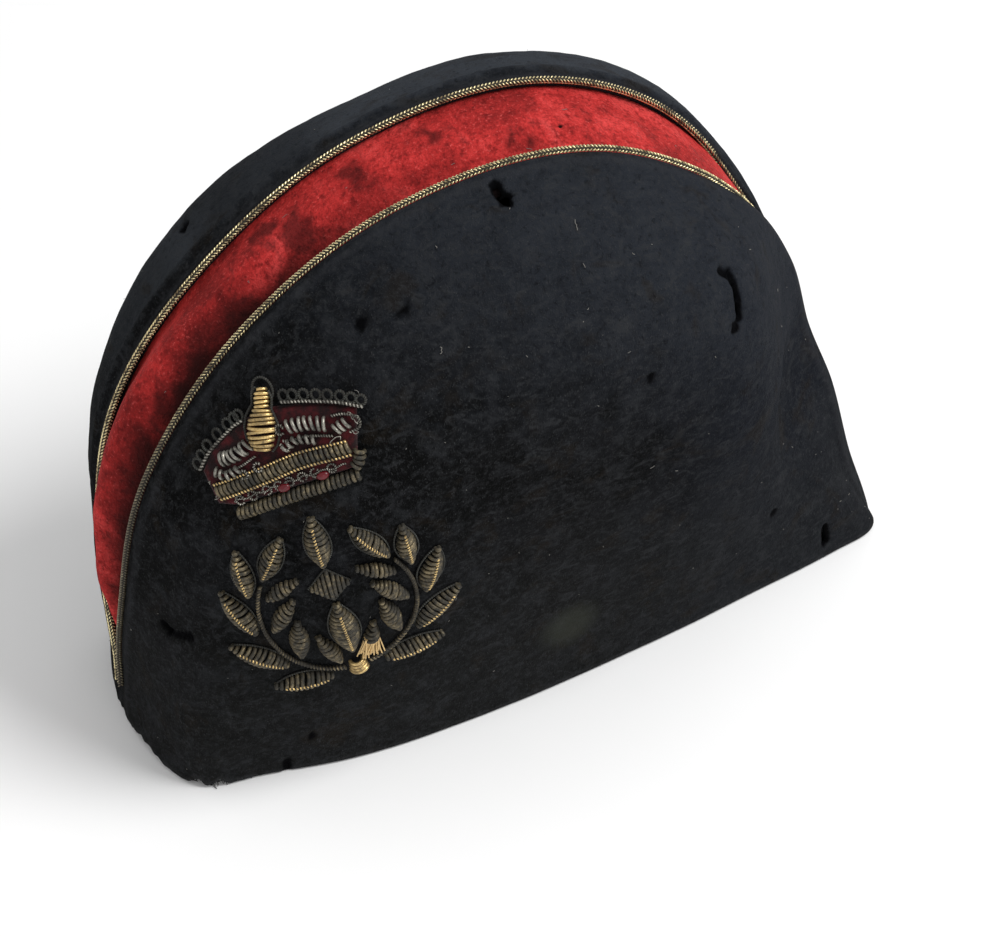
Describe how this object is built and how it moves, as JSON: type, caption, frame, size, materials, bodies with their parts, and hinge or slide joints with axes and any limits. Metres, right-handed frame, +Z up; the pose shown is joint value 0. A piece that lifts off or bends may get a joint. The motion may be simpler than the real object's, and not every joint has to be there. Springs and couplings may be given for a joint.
{
  "type": "garrison cap",
  "caption": "Rounded folding field cap of dark cloth with a velvet crown strip, gold braid edges and a padded wire badge on one side.",
  "frame": {"origin": "middle of the bounding box at the level of the hem, on the surface the cap rests on", "axes": "+Z up from the hem, the front of the cap faces -Y, the wearer's left side, with the badge, faces +X"},
  "size_m": [0.124, 0.2462, 0.1866],
  "materials": {
    "cloth": "matt napped wool melton, near black navy, worn and linty",
    "velvet": "scarlet cotton velvet with crushed pile and dark patches",
    "braid": "plaited gilt wire cord, tarnished",
    "badge_velvet": "dark crimson velvet",
    "bullion": "coiled gilt wire purl over padding, tarnished grey brown",
    "bright_bullion": "coiled gilt wire purl, brighter gold"
  },
  "bodies": {
    "root": {"side_left": "cloth", "side_right": "cloth", "crown_strip": "velvet", "braid_left": "braid", "braid_right": "braid", "badge_velvet": "badge_velvet", "badge_band": "bullion", "badge_circlet": "bullion", "badge_arch_left": "bullion", "badge_arch_right": "bullion", "badge_finial": "bright_bullion", "badge_stone_front": "badge_velvet", "badge_stone_back": "badge_velvet", "badge_stem_front": "bullion", "badge_leaf_front_outer_1": "bullion", "badge_leaf_front_inner_1": "bullion", "badge_leaf_front_outer_2": "bullion", "badge_leaf_front_inner_2": "bullion", "badge_leaf_front_outer_3": "bullion", "badge_leaf_front_inner_3": "bullion", "badge_leaf_front_outer_4": "bullion", "badge_leaf_front_inner_4": "bullion", "badge_leaf_front_tip": "bullion", "badge_stem_back": "bullion", "badge_leaf_back_outer_1": "bullion", "badge_leaf_back_inner_1": "bullion", "badge_leaf_back_outer_2": "bullion", "badge_leaf_back_inner_2": "bullion", "badge_leaf_back_outer_3": "bullion", "badge_leaf_back_inner_3": "bullion", "badge_leaf_back_outer_4": "bullion", "badge_leaf_back_inner_4": "bullion", "badge_leaf_back_tip": "bullion", "badge_palm_lower": "bullion", "badge_palm_upper": "bullion", "badge_lozenge": "bullion", "badge_tie": "bullion"}
  },
  "joints": []
}
